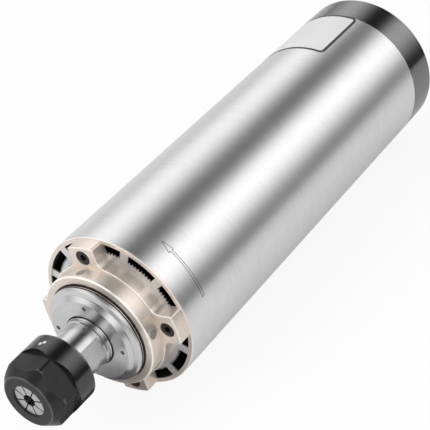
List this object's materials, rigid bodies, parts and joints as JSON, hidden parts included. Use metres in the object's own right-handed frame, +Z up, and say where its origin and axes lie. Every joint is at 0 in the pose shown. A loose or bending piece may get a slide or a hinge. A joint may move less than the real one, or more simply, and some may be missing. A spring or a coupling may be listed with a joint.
{
  "type": "motor spindle",
  "caption": "Round air cooled router spindle: brushed tube, lobed front flange with air windows, wrench-flat shaft, spring collet in a hexagon nut, grilled rear cover.",
  "frame": {"origin": "on the spindle axis, at the front edge of the outer tube", "axes": "+Y along the spindle axis from the nose to the rear cover, +Z up, +X to the right seen from the nose"},
  "size_m": [0.08, 0.3133, 0.08],
  "materials": {
    "brushed_tube": "long brushed, satin",
    "bare_aluminium": "extruded, milled end",
    "champagne_anodised": "satin champagne anodised",
    "black_steel": "black oxide",
    "plug_filler": "matt filler",
    "turned_steel": "fine turned, bright",
    "black_rubber": "matt",
    "bearing_steel": "ground",
    "ball_steel": "polished",
    "laminations": "stacked sheet, varnished",
    "copper_winding": "enamelled wire, varnished",
    "cast_aluminium": "cast and turned",
    "spring_steel": "satin",
    "zinc_steel": "zinc plated",
    "black_cover": "satin black",
    "nickel_plate": "nickel plated",
    "black_plastic": "matt black",
    "gilt_pins": "gold plated",
    "lead_sheath": "soft sheath",
    "ground_steel": "ground, bright",
    "brass_rings": "turned",
    "fan_plastic": "moulded black",
    "cage_plastic": "moulded",
    "spring_collet_steel": "ground, satin",
    "blackened_nut": "blackened, satin"
  },
  "bodies": {
    "housing": {"outer_housing": "brushed_tube", "cooling_sleeve": "bare_aluminium", "front_flange": "champagne_anodised", "flange_screws": "black_steel", "flange_plugs": "plug_filler", "front_cap": "turned_steel", "cap_seal_ring": "black_rubber", "front_bearing_outer_rings": "bearing_steel", "stator_core": "laminations", "stator_winding": "copper_winding", "rear_bracket": "cast_aluminium", "rear_bearing_outer_rings": "bearing_steel", "preload_spring": "spring_steel", "cover_standoffs": "zinc_steel", "rear_cover": "black_cover", "cover_screws": "black_steel", "socket_shell": "nickel_plate", "socket_nut": "nickel_plate", "socket_insulator": "black_plastic", "socket_pins": "gilt_pins", "motor_lead": "lead_sheath"},
    "rotor": {"shaft": "ground_steel", "slinger": "turned_steel", "rotor_core": "laminations", "rotor_cage": "cast_aluminium", "balance_rings": "brass_rings", "front_bearing_inner_rings": "bearing_steel", "rear_bearing_inner_rings": "bearing_steel", "rear_lock_nut": "black_steel", "fan": "fan_plastic", "fan_key": "ground_steel", "fan_washer": "zinc_steel", "fan_nut": "zinc_steel"},
    "front_ball_set": {"front_bearing_balls": "ball_steel", "front_bearing_cages": "cage_plastic"},
    "rear_ball_set": {"rear_bearing_balls": "ball_steel", "rear_bearing_cages": "cage_plastic"},
    "collet": {"collet": "spring_collet_steel"},
    "nut": {"collet_nut": "blackened_nut"}
  },
  "joints": [
    {"name": "rotor_spin", "type": "hinge", "parent": "housing", "child": "rotor", "pos_m": [0, 0, 0], "axis": [0, 1, 0], "continuous": true},
    {"name": "front_ball_spin", "type": "hinge", "parent": "housing", "child": "front_ball_set", "pos_m": [0, 0, 0], "axis": [0, 1, 0], "continuous": true},
    {"name": "rear_ball_spin", "type": "hinge", "parent": "housing", "child": "rear_ball_set", "pos_m": [0, 0, 0], "axis": [0, 1, 0], "continuous": true},
    {"name": "collet_slide", "type": "slide", "parent": "rotor", "child": "collet", "axis": [0, -1, 0], "range_m": [0, 0.009]},
    {"name": "nut_turn", "type": "hinge", "parent": "collet", "child": "nut", "pos_m": [0, 0, 0], "axis": [0, -1, 0], "range_deg": [0, 2160]}
  ],
  "couplings": [
    {"joint": "front_ball_spin", "follows": "rotor_spin", "ratio": 0.41181},
    {"joint": "rear_ball_spin", "follows": "rotor_spin", "ratio": 0.39872},
    {"joint": "collet_slide", "follows": "nut_turn", "m_per_rad": 0.00023873}
  ]
}
